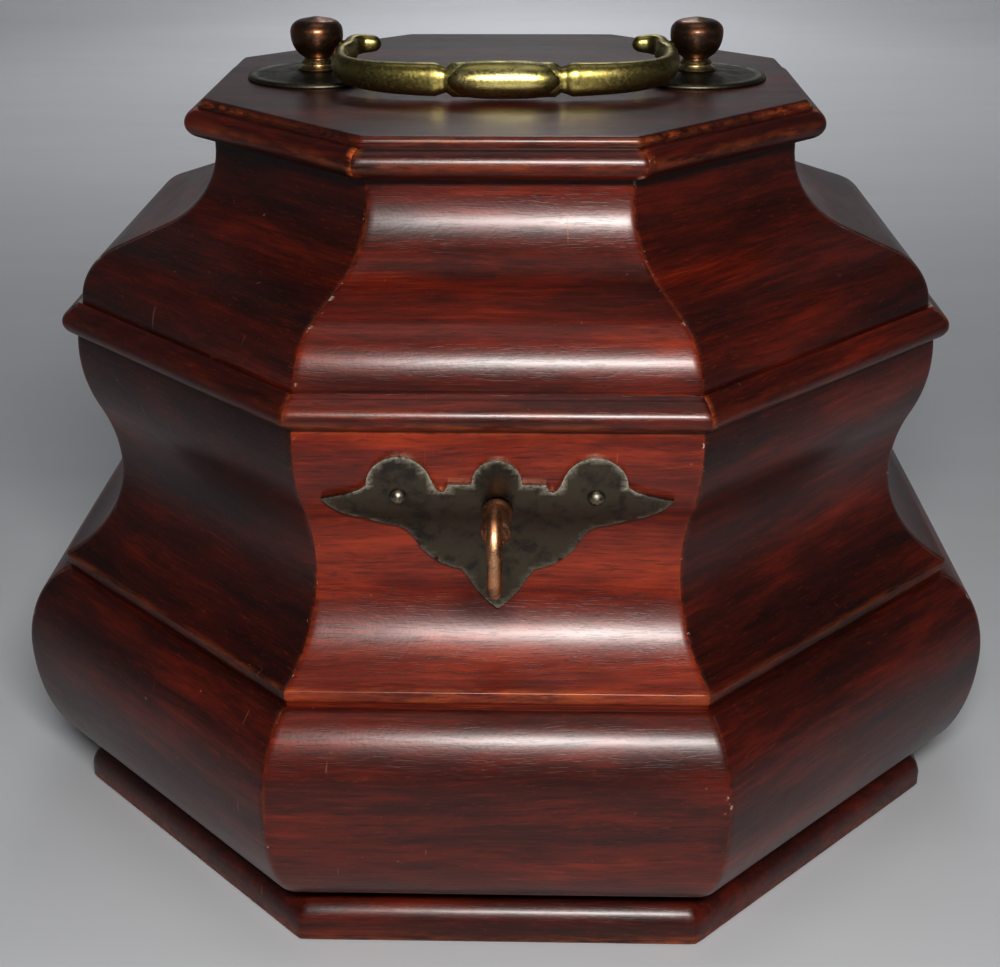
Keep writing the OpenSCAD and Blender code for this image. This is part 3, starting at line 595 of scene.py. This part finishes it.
def octagon_board(name, outline):
    """A solid board whose edge follows the outline (reach, height), going up, with softened corners."""
    rings = []
    for a, z in densify(outline, 2.0):
        ring = []
        for i in range(8):
            turn = Matrix.Rotation(math.radians(180 + 45 * i), 3, "Z")
            for t in (-0.996, -0.97, -0.9, -0.6, -0.2, 0.2, 0.6, 0.9, 0.97, 0.996):
                half = a * HALF_SIDE
                edge = max(0.0, 1 - (half - abs(t * half)) / 1.4)
                ring.append(turn @ Vector((-t * half, a - 0.12 * edge, z)))
        rings.append(ring)
    bm = bmesh.new()
    rings_mesh(bm, rings)
    bmesh.ops.recalc_face_normals(bm, faces=bm.faces)
    return new_object(name, bm, WOOD, 35)


def board_attributes(obj, wears, tone):
    """As grain_attributes, for a board whose grain runs along X all over."""
    mesh = obj.data
    grain, wear, tones, mitre = wood_layers(mesh)
    for i, v in enumerate(mesh.vertices):
        p = v.co / MM
        reach = max(abs(p.x), abs(p.y), abs(p.x + p.y) / math.sqrt(2), abs(p.x - p.y) / math.sqrt(2))
        w = max([0.0] + [amount * max(0.0, 1 - math.hypot(reach - wa, p.z - wz) / r)
                         for wa, wz, r, amount in wears])
        grain.data[i].vector = (p.x + 200, p.y, p.z * 1.5)
        wear.data[i].value = w * max(0.0, min(1.0, 0.7 + 0.9 * noise.noise(p * 0.05)))
        tones.data[i].value = tone
        mitre.data[i].value = 0.0


BASE_R, BASE_TOP, BASE_ROUND = base_hi[0], base_hi[2], 5.5
o = octagon_board("base", [(BASE_R - 0.8, 0), (BASE_R, 0.8)]
                  + arc((BASE_R - BASE_ROUND, BASE_TOP - BASE_ROUND), BASE_ROUND, BASE_ROUND, 0, 90, 18))
board_attributes(o, [(BASE_R, 0.8, 1.3, 0.8)], 0.48)
place(o, "caddy_body", "mahogany", "base_board")

o = octagon_board("bottom", [(floor_hi[0], floor_lo[2]), (floor_hi[0], floor_hi[2])])
board_attributes(o, [], 0.3)
place(o, "caddy_body", "mahogany", "bottom_board")

TOP, TOP_ROUND, POST_X, BORE_R = top_hi[2], 1.2, 44.45, 1.6
o = octagon_board("lid_top", [(62, top_lo[2]), (62, LIP), (68, LIP), (68, TOP - 1.3), (67.4, TOP - 1.2)]
                  + arc((66.2, TOP - TOP_ROUND), TOP_ROUND, TOP_ROUND, 0, 90, 8))
cut(o, [rod((x, 0, 150), (0, 0, 1), BORE_R, 40) for x in (-POST_X, POST_X)])
board_attributes(o, [(67.4, TOP - 1.0, 1.2, 0.75)], 0.44)
place(o, "lid", "mahogany", "top_board")


# ---------------------------------------------------------------- handle

def wear_and_sheen_by(obj, rule):
    """Stores rule(point in mm) as the wear of each vertex: worn places, and on the escutcheon also a painted
    highlight.
    """
    wear = obj.data.attributes.new("wear", "FLOAT", "POINT")
    for i, v in enumerate(obj.data.vertices):
        wear.data[i].value = max(0.0, min(1.0, rule(v.co / MM)))


PIVOT = 176.4                                   # height of the bail's pivots
WIDEST, KNOB_LOW, CROWN_R, CROWN_H = 179.3, 5.7, 3.2, 2.7

for side, name in ((-1, "left"), (1, "right")):
    lo, hi = cad("post_" + name)
    x = (lo[0] + hi[0]) / 2
    disc_lo, disc_hi = cad("rosette_" + name)
    rad, foot = (disc_hi[0] - disc_lo[0]) / 2, disc_hi[2]
    rise = foot - disc_lo[2]
    bm = bmesh.new()
    profile = [(BORE_R, 0.02), (rad - 0.15, 0.02), (rad, 0.15), (rad, 0.45), (rad - 0.12, 0.72),
               (rad - 0.4, 0.93), (rad - 0.8, 1.06), (rad - 1.3, 1.09), (rad - 1.75, 1.02), (rad - 2.1, 0.9)] + \
        [(r, rise - 0.02 - (r / 14.9) ** 2 * 1.0) for r in (13.8, 12.6, 11.5, 10, 8.4, 6.8, 5.6)] + \
        [(5.0, rise - 0.10), (4.7, rise), (BORE_R, rise)]
    lathe(bm, profile, Matrix.Translation((x, 0, disc_lo[2])), 96, 0.006, side)
    o = new_object("rosette_plate_" + name, bm, DISC, 50)
    wear_and_sheen_by(o, lambda p, x=x, rad=rad: 1 - abs(math.hypot(p.x - x, p.y) - rad + 0.8) / 1.2)
    place(o, "lid", "dark_brass", "rosette_" + name)

    top, full = hi[2], (hi[0] - lo[0]) / 2
    neck = [(4.6, 0), (4.75, 0.25), (4.55, 0.6), (3.9, 0.85), (3.55, 1.1), (3.5, 1.35), (3.75, 1.6), (3.8, 1.95),
            (3.55, 2.25), (3.2, 2.5), (3.1, 2.75), (3.3, 3.0)]
    neck = [(BORE_R, lo[2]), (BORE_R, foot)] + [(r, foot + z) for r, z in neck]
    head = arc((BORE_R, WIDEST), full - BORE_R, KNOB_LOW, -62, -2, 12)
    crown = arc((full - CROWN_R, top - 0.55 - CROWN_H), CROWN_R, CROWN_H, 0, 78, 13)
    tip = [(2.4, top - 0.38), (1.6, top - 0.22), (0.9, top - 0.07), (0.01, top)]
    bm = bmesh.new()
    lathe(bm, neck + head + crown + tip, Matrix.Translation((x, 0, 0)), 72, 0.012, 5 + side)
    o = new_object("knob_" + name, bm, KNOB, 45)
    cut(o, [rod((x - side * 0.6, 0, PIVOT), (-side, 0, 0), 1.25, 10)])
    wear_and_sheen_by(o, lambda p, f=foot: 1 - abs(p.z - f - 1.5) / 1.4)
    place(o, "lid", "brown_brass", "post_" + name)


OVAL_X, OVAL_Y, OVAL_END = 37.6, 19, -10        # half width and depth of the bail's oval, and where it ends
ARM_X, HOOK_R, HOOK_RUN = 36.2, 3.4, 3.3
OVAL_U, ARM_U = 0.6, 0.72                       # where the oval and the straight arm end along half the bail
GRIP_R, GRIP_HALF, GRIP_Y = 4.1, 13, -29


def bail_plan(u):
    """Centre line of half the bail from above: the squared oval in front, then the curled end."""
    if u < OVAL_U:
        a = math.radians(90 * u / OVAL_U)
        return OVAL_X * max(math.sin(a), 0) ** (2 / 3.2), -OVAL_Y * max(math.cos(a), 0) ** (2 / 3.2) + OVAL_END
    if u < ARM_U:
        t = (u - OVAL_U) / (ARM_U - OVAL_U)
        k = min(1.0, 1.6 * t)
        return OVAL_X - (OVAL_X - ARM_X) * k * k * (3 - 2 * k), OVAL_END + 8.4 * t
    t = (u - ARM_U) / (1 - ARM_U)
    a = math.radians(min(90, 150 * t))
    run = max(0, (t - 0.6) / 0.4) * HOOK_RUN
    return ARM_X - HOOK_R + HOOK_R * math.cos(a) - run, HOOK_R * math.sin(a) - 1.6


def bail_half(u):
    """Half width sideways and half height of the bar."""
    if u < ARM_U:
        return 2.6 - 1.12 * u, 3.75 - 1.95 * u
    t = (u - ARM_U) / (1 - ARM_U)
    fade = math.sqrt(max(0.0, 1 - (max(0, t - 0.8) / 0.2) ** 2))
    return (1.8 - 0.5 * t * t) * max(fade, 0.06), (2.35 - 0.9 * t * t) * max(fade, 0.06)


SLOPE = (TOP + 4.4 - PIVOT) / GRIP_Y            # rise of the bail towards its pivots, as it rests on the lid
us = [i / 90 for i in range(91)]
path = [(-bail_plan(u)[0], bail_plan(u)[1], u) for u in reversed(us[1:])] + \
    [(bail_plan(u)[0], bail_plan(u)[1], u) for u in us]
rings = []
for i, (x, y, u) in enumerate(path):
    a, b = path[max(0, i - 1)], path[min(len(path) - 1, i + 1)]
    d = Vector((b[0] - a[0], b[1] - a[1])).normalized()
    # the bar is pinched beside the grip
    pinch = 1 - 0.30 * max(0.0, 1 - (abs(abs(x) - GRIP_HALF) / 1.15) ** 2)
    w, h = [v * pinch for v in bail_half(u)]
    ring = []
    for j in range(32):
        t = 2 * math.pi * j / 32
        c, q = math.cos(t), math.sin(t)
        # a squarish section with an almost flat outer face
        across = math.copysign(abs(c) ** 0.78, c) * w
        rise = math.copysign(abs(q) ** 0.86, q) * h
        px, py = x + d.y * across, y - d.x * across
        ring.append((px, py, PIVOT + SLOPE * py + rise * (1 - 0.01 * noise.noise(Vector((px, py, 0)) * 0.3))))
    rings.append(ring)
bm = bmesh.new()
rings_mesh(bm, rings)
barrel = [(max(0.01, GRIP_R * (1 - abs(z / GRIP_HALF) ** 3.4) ** 0.45), z) for z in
          [-GRIP_HALF * math.cos(math.pi * k / 48) for k in range(49)]]
lathe(bm, barrel, Matrix.Translation((0, GRIP_Y, PIVOT + SLOPE * GRIP_Y)) @ Matrix.Rotation(math.pi / 2, 4, "Y"),
      64, 0.008)
for side in (-1, 1):
    lathe(bm, [(0.01, 0), (1.2, 0), (1.2, 6.5), (0.95, 6.8), (0.01, 6.8)],
          Matrix.Translation((side * ARM_X, 0, PIVOT)) @ Matrix.Rotation(side * math.pi / 2, 4, "Y"), 32)
o = new_object("bail_handle", bm, BAIL, 50)
wear_and_sheen_by(o, lambda p: (0.9 if abs(p.x) < 11.5 and p.y < -24 else 0.18) * (0.6 + 0.6 * noise.noise(p * 0.2))
        - 1.2 * max(0.0, 1 - abs(abs(p.x) - 12.4) / 0.8))
place(o, "bail", "bail_brass", "bail")


# ---------------------------------------------------------------- escutcheon, its pins, the key

PLATE_T, PLATE_EDGE = 1.2, 0.42
# right half of the plate's outline, (sideways, height), from its foot up
half = [(0, 77.6), (1.4, 78.5), (2.8, 79.8), (4.4, 81.5), (6.1, 84.1), (7.4, 86), (9.4, 86.5), (11.4, 87.3),
        (13.7, 88.9), (15.6, 91), (16.7, 93.2), (18.2, 95.6), (20.2, 96.8), (22.6, 97.3), (25.3, 98.2),
        (28.2, 99.1), (31, 100.1), (33.3, 101.8), (35, 103.8), (32.6, 104.3), (29.8, 105), (27.4, 106)] + \
    arc((19.3, 107.1), 6.5, 6.5, 0, 165, 22) + \
    [(12, 106.4), (11.2, 105.7), (10.2, 106), (9.7, 107.5), (5, 107.5)] + arc((0, 108), 4.9, 4.9, 15, 90, 12)


def waist_at(z, t):
    """Reach of the waist's face, pushed out by t, at height z."""
    line = waist_line(t)
    for (a0, z0), (a1, z1) in zip(line, line[1:]):
        if z0 <= z <= z1:
            return a0 + (a1 - a0) * (z - z0) / (z1 - z0)
    return line[-1][0]


outline = half + [(-x, z) for x, z in reversed(half[1:-1])]
hole = arc((0, KEY_Z), KEYHOLE_R, KEYHOLE_R, 245, -65, 31) + [(SLOT_X, SLOT_Z), (-SLOT_X, SLOT_Z)]
bm = bmesh.new()
for loop in (outline, hole):
    vs = [bm.verts.new((x, 0, z)) for x, z in loop]
    for a, b in zip(vs, vs[1:] + vs[:1]):
        bm.edges.new((a, b))
bmesh.ops.triangle_fill(bm, use_beauty=True, edges=bm.edges[:])
# level and upright cuts, so that the plate can bend
slices = [((0, 0, 78.5 + 1.2 * k), (0, 0, 1)) for k in range(30)]
slices += [((x, 0, 0), (1, 0, 0)) for x in range(-34, 35, 2)]
for at, axis in slices:
    bmesh.ops.bisect_plane(bm, geom=bm.verts[:] + bm.edges[:] + bm.faces[:], plane_co=at, plane_no=axis)
bmesh.ops.recalc_face_normals(bm, faces=bm.faces)
if sum(f.normal.y for f in bm.faces) > 0:
    bmesh.ops.reverse_faces(bm, faces=bm.faces)
front = {v: waist_at(v.co.z, PLATE_T) for v in bm.verts}
twin = {v: bm.verts.new((v.co.x, -waist_at(v.co.z, 0.01), v.co.z)) for v in list(bm.verts)}
rim = [e for e in bm.edges if len(e.link_faces) == 1]
for f in list(bm.faces):
    bm.faces.new([twin[v] for v in reversed(f.verts)])
for e in rim:
    a, b = e.verts
    bm.faces.new((b, a, twin[a], twin[b]))
for v, reach in front.items():
    v.co.y = -reach
bmesh.ops.recalc_face_normals(bm, faces=bm.faces)
bmesh.ops.bevel(bm, geom=rim, offset=PLATE_EDGE, segments=3, profile=0.5, affect="EDGES", clamp_overlap=True)
for v in bm.verts:
    v.co *= MM
o = new_object("escutcheon_plate", bm, DARK, 60)


def outline_distance(px, pz):
    """Distance of a point of the plate from its outline, at most 9 mm."""
    best = 9.0
    for (x0, z0), (x1, z1) in zip(outline, outline[1:] + outline[:1]):
        dx, dz = x1 - x0, z1 - z0
        t = max(0, min(1, ((px - x0) * dx + (pz - z0) * dz) / (dx * dx + dz * dz)))
        best = min(best, math.hypot(px - x0 - t * dx, pz - z0 - t * dz))
    return best


# pale edges, full on the upper lobes: worn brass, and also a painted highlight where the upper lobes' bevels
# catch the light
wear_and_sheen_by(o, lambda p: (1 - outline_distance(p.x, p.z) / 0.7) * (1.0 if p.z > 105.3 else 0.25))
place(o, "caddy_body", "dark_brass", "escutcheon")

PIN_X, PIN_Z, PIN_R = 19.6, 104.9, 1.8
lean = math.asin((MOUTH_Z - PIN_Z) / S_R)
pin_y = -(MOUTH - S_R + S_R * math.cos(lean))
for side, name in ((-1, "left"), (1, "right")):
    at = Matrix.Translation((side * PIN_X, pin_y, PIN_Z)) @ Matrix.Rotation(math.pi / 2 + lean, 4, "X")
    bm = bmesh.new()
    dome = [(PIN_R * math.cos(math.radians(a)), 1.15 + 1.68 * math.sin(math.radians(a)) ** 1.15)
            for a in range(6, 90, 7)]
    lathe(bm, [(0.01, -4.9), (0.5, -4.6), (0.8, -4), (0.8, 1.2), (1.75, 1.2)] + dome + [(0.01, 2.82)], at, 40)
    o = new_object("escutcheon_pin_" + name, bm, DARK, 50)
    wear_and_sheen_by(o, lambda p: 0.3)
    place(o, "caddy_body", "dark_brass", "escutcheon_pins")

BOW_Y, BOW_HALF_Y, BOW_HALF_Z, WIRE = key_lo[1] + 7.5, 6.0, 8.0, 1.5
bm = bmesh.new()
# the shank as (radius, distance in front of the middle): pipe, collar, stem and the knop by the bow
end = -BOW_Y - 6.7
shank = [(0.01, 91.4), (1.0, 91.4), (1.0, 84.95), (1.15, 84.9), (2.05, 84.9), (2.2, 85.05), (2.2, 97.35),
         (2.55, 97.4), (2.9, 97.55), (3.08, 98.1), (3.1, 98.5), (3.0, 99.1), (2.75, 99.45), (2.6, 99.7),
         (2.5, 101.5), (2.45, 104.5), (2.6, end - 3.1), (2.75, end - 2.9), (3.0, end - 2.5), (3.05, end - 1.8),
         (2.95, end - 1.3), (2.6, end - 0.8), (2.3, end - 0.4), (2.15, end), (0.01, end)]
lathe(bm, shank, Matrix.Translation((0, 0, KEY_Z)) @ Matrix.Rotation(math.pi / 2, 4, "X"), 48, 0.01)
rings = []
for i in range(96):
    a = 2 * math.pi * i / 96
    ring = []
    uneven = 1 + 0.06 * noise.noise(Vector((math.cos(a) * 2, math.sin(a) * 2, 4)))
    wire = WIRE * (1 - 0.06 * (1 + math.cos(6 * a)) / 2) * min(1.0, uneven)
    for j in range(24):
        b = 2 * math.pi * j / 24
        cx = math.copysign(abs(math.sin(b)) ** 0.85, math.sin(b)) * wire * 0.93
        out = min(wire * math.copysign(abs(math.cos(b)) ** 0.9, math.cos(b)), WIRE)
        ring.append((cx, BOW_Y + (BOW_HALF_Y + out) * math.cos(a), KEY_Z + (BOW_HALF_Z + out) * math.sin(a)))
    rings.append(ring)
rings_mesh(bm, rings, closed=True)
bit = bmesh.ops.create_cube(bm, size=1)["verts"]
for v in bit:
    v.co = Vector((v.co.x * 1.6, v.co.y * 3.4 - 87.5, v.co.z * 3.4 + KEY_Z - 3.3)) * MM
bmesh.ops.bevel(bm, geom=[e for e in bm.edges if e.verts[0] in bit and e.verts[1] in bit], offset=0.12 * MM,
                segments=2, affect="EDGES")
bmesh.ops.recalc_face_normals(bm, faces=bm.faces)
o = new_object("lock_key", bm, KEY, 45)
wear_and_sheen_by(o, lambda p: 1.25 * (math.hypot((p.y - BOW_Y) / 7.5, (p.z - KEY_Z) / 9.5) - 0.9) * 6
        * (0.55 + 0.9 * noise.noise(Vector((p.x * 0.2, p.y * 0.25, p.z * 0.35)))) if p.y < -107 else 0.15)
place(o, "key", "key_brass", "key")


# ---------------------------------------------------------------- CAD nodes that stay

BRASS_NODES = ["post_washers", "post_nuts", "lock_plate", "lock_case", "lock_bolt", "lock_screws", "keeper",
               "keeper_screws", "hinge_leaves_body", "hinge_leaves_lid", "hinge_screws_body", "hinge_screws_lid"]
STEEL_NODES = ["lock_studs", "lock_spring", "hinge_pins"]
for material, names in ((FITTING, BRASS_NODES), (STEEL, STEEL_NODES)):
    for name in names:
        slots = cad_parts[name].data.materials
        slots.clear()
        slots.append(material)


# ---------------------------------------------------------------- floor, light, camera

m = Nodes("pale_floor")
p = m.coords()
paint = m.noise(m.stretch(p, (5, 30, 5)), 1.0, 5.0, 0.6)
mottle = m.noise(m.stretch(p, (2.5, 4, 2)), 1.0, 3.0, 0.5)
grey = m.math("ADD", m.math("MULTIPLY", paint, 0.05), m.math("MULTIPLY", mottle, 0.06))
m.set(Base_Color=m.ramp(grey, [(0.0, (0.50, 0.51, 0.53)), (0.12, (0.63, 0.64, 0.66))]), Roughness=0.55,
      Normal=m.bump(paint, 0.15, 0.0006))
# a round floor that curves up into a wall, as (radius, height) in metres
sweep = [(r / 10, 0.0) for r in range(1, 14)]
sweep += arc((1.35, 0.25), 0.25, 0.25, -90, 0, 15) + [(1.6, 0.5), (1.6, 0.8)]
bm = bmesh.new()
turned = [[bm.verts.new((r * math.cos(k * math.pi / 48), r * math.sin(k * math.pi / 48), h)) for k in range(96)]
          for r, h in sweep]
for inner, outer in zip(turned, turned[1:]):
    for k in range(96):
        bm.faces.new((inner[k], outer[k], outer[(k + 1) % 96], inner[(k + 1) % 96]))
bm.faces.new(turned[0])
floor = new_object("floor", bm, m.material)
floor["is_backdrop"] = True

# the camera, fitted to the photograph by the corners of the octagon
camera = bpy.data.objects.new("camera", bpy.data.cameras.new("camera"))
SCENE.collection.objects.link(camera)
right = Vector((0.99972, 0.02334, -0.00245))
up = Vector((-0.00737, 0.41133, 0.91145))
forward = Vector((-0.02228, 0.91119, -0.41139))
camera.rotation_mode = "QUATERNION"
camera.rotation_quaternion = Matrix((right, up, -forward)).transposed().to_quaternion()
camera.location = (0.00752, -0.37979, 0.23518)
camera.data.sensor_width = 36
camera.data.lens = 56.86
camera.data.clip_start, camera.data.clip_end = 0.01, 20
SCENE.camera = camera


def area(name, at, target, size, watts, colour=(1, 1, 1), size_y=None):
    """An area light: a disc, or a rectangle where size_y is given (metres)."""
    light = bpy.data.lights.new(name, "AREA")
    light.energy, light.color = watts, colour
    light.shape = "RECTANGLE" if size_y else "DISK"
    light.size = size
    if size_y:
        light.size_y = size_y
    obj = bpy.data.objects.new(name, light)
    SCENE.collection.objects.link(obj)
    obj.location = at
    obj.rotation_mode = "QUATERNION"
    obj.rotation_quaternion = (Vector(target) - Vector(at)).to_track_quat("-Z", "Y")
    obj.visible_camera = False
    return obj


area("main_light", (0.035, -0.43, 0.345), (0, -0.05, 0.09), 0.15, 2.5, (1.0, 0.985, 0.96), 0.05)
area("backdrop_light", (0.0, 0.55, 0.85), (0, 1.6, 0.45), 0.8, 4.4, (1, 1, 1), 0.5)
area("back_light", (0.0, 1.15, 0.95), (0, 0, 0.08), 0.35, 1.6)
area("overhead", (0.0, 0.0, 1.3), (0, 0, 0.1), 0.8, 1.7)
area("back_fill", (0.0, 1.45, 0.5), (0, 0, 0.08), 0.5, 3.2).visible_glossy = False
world = bpy.data.worlds.new("studio")
SCENE.world = world
world.use_nodes = True
background = world.node_tree.nodes["Background"]
background.inputs["Color"].default_value = (0.62, 0.65, 0.70, 1)
background.inputs["Strength"].default_value = 0.10
SCENE.view_settings.view_transform = "Standard"
SCENE.view_settings.gamma = 0.8

lo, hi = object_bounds()
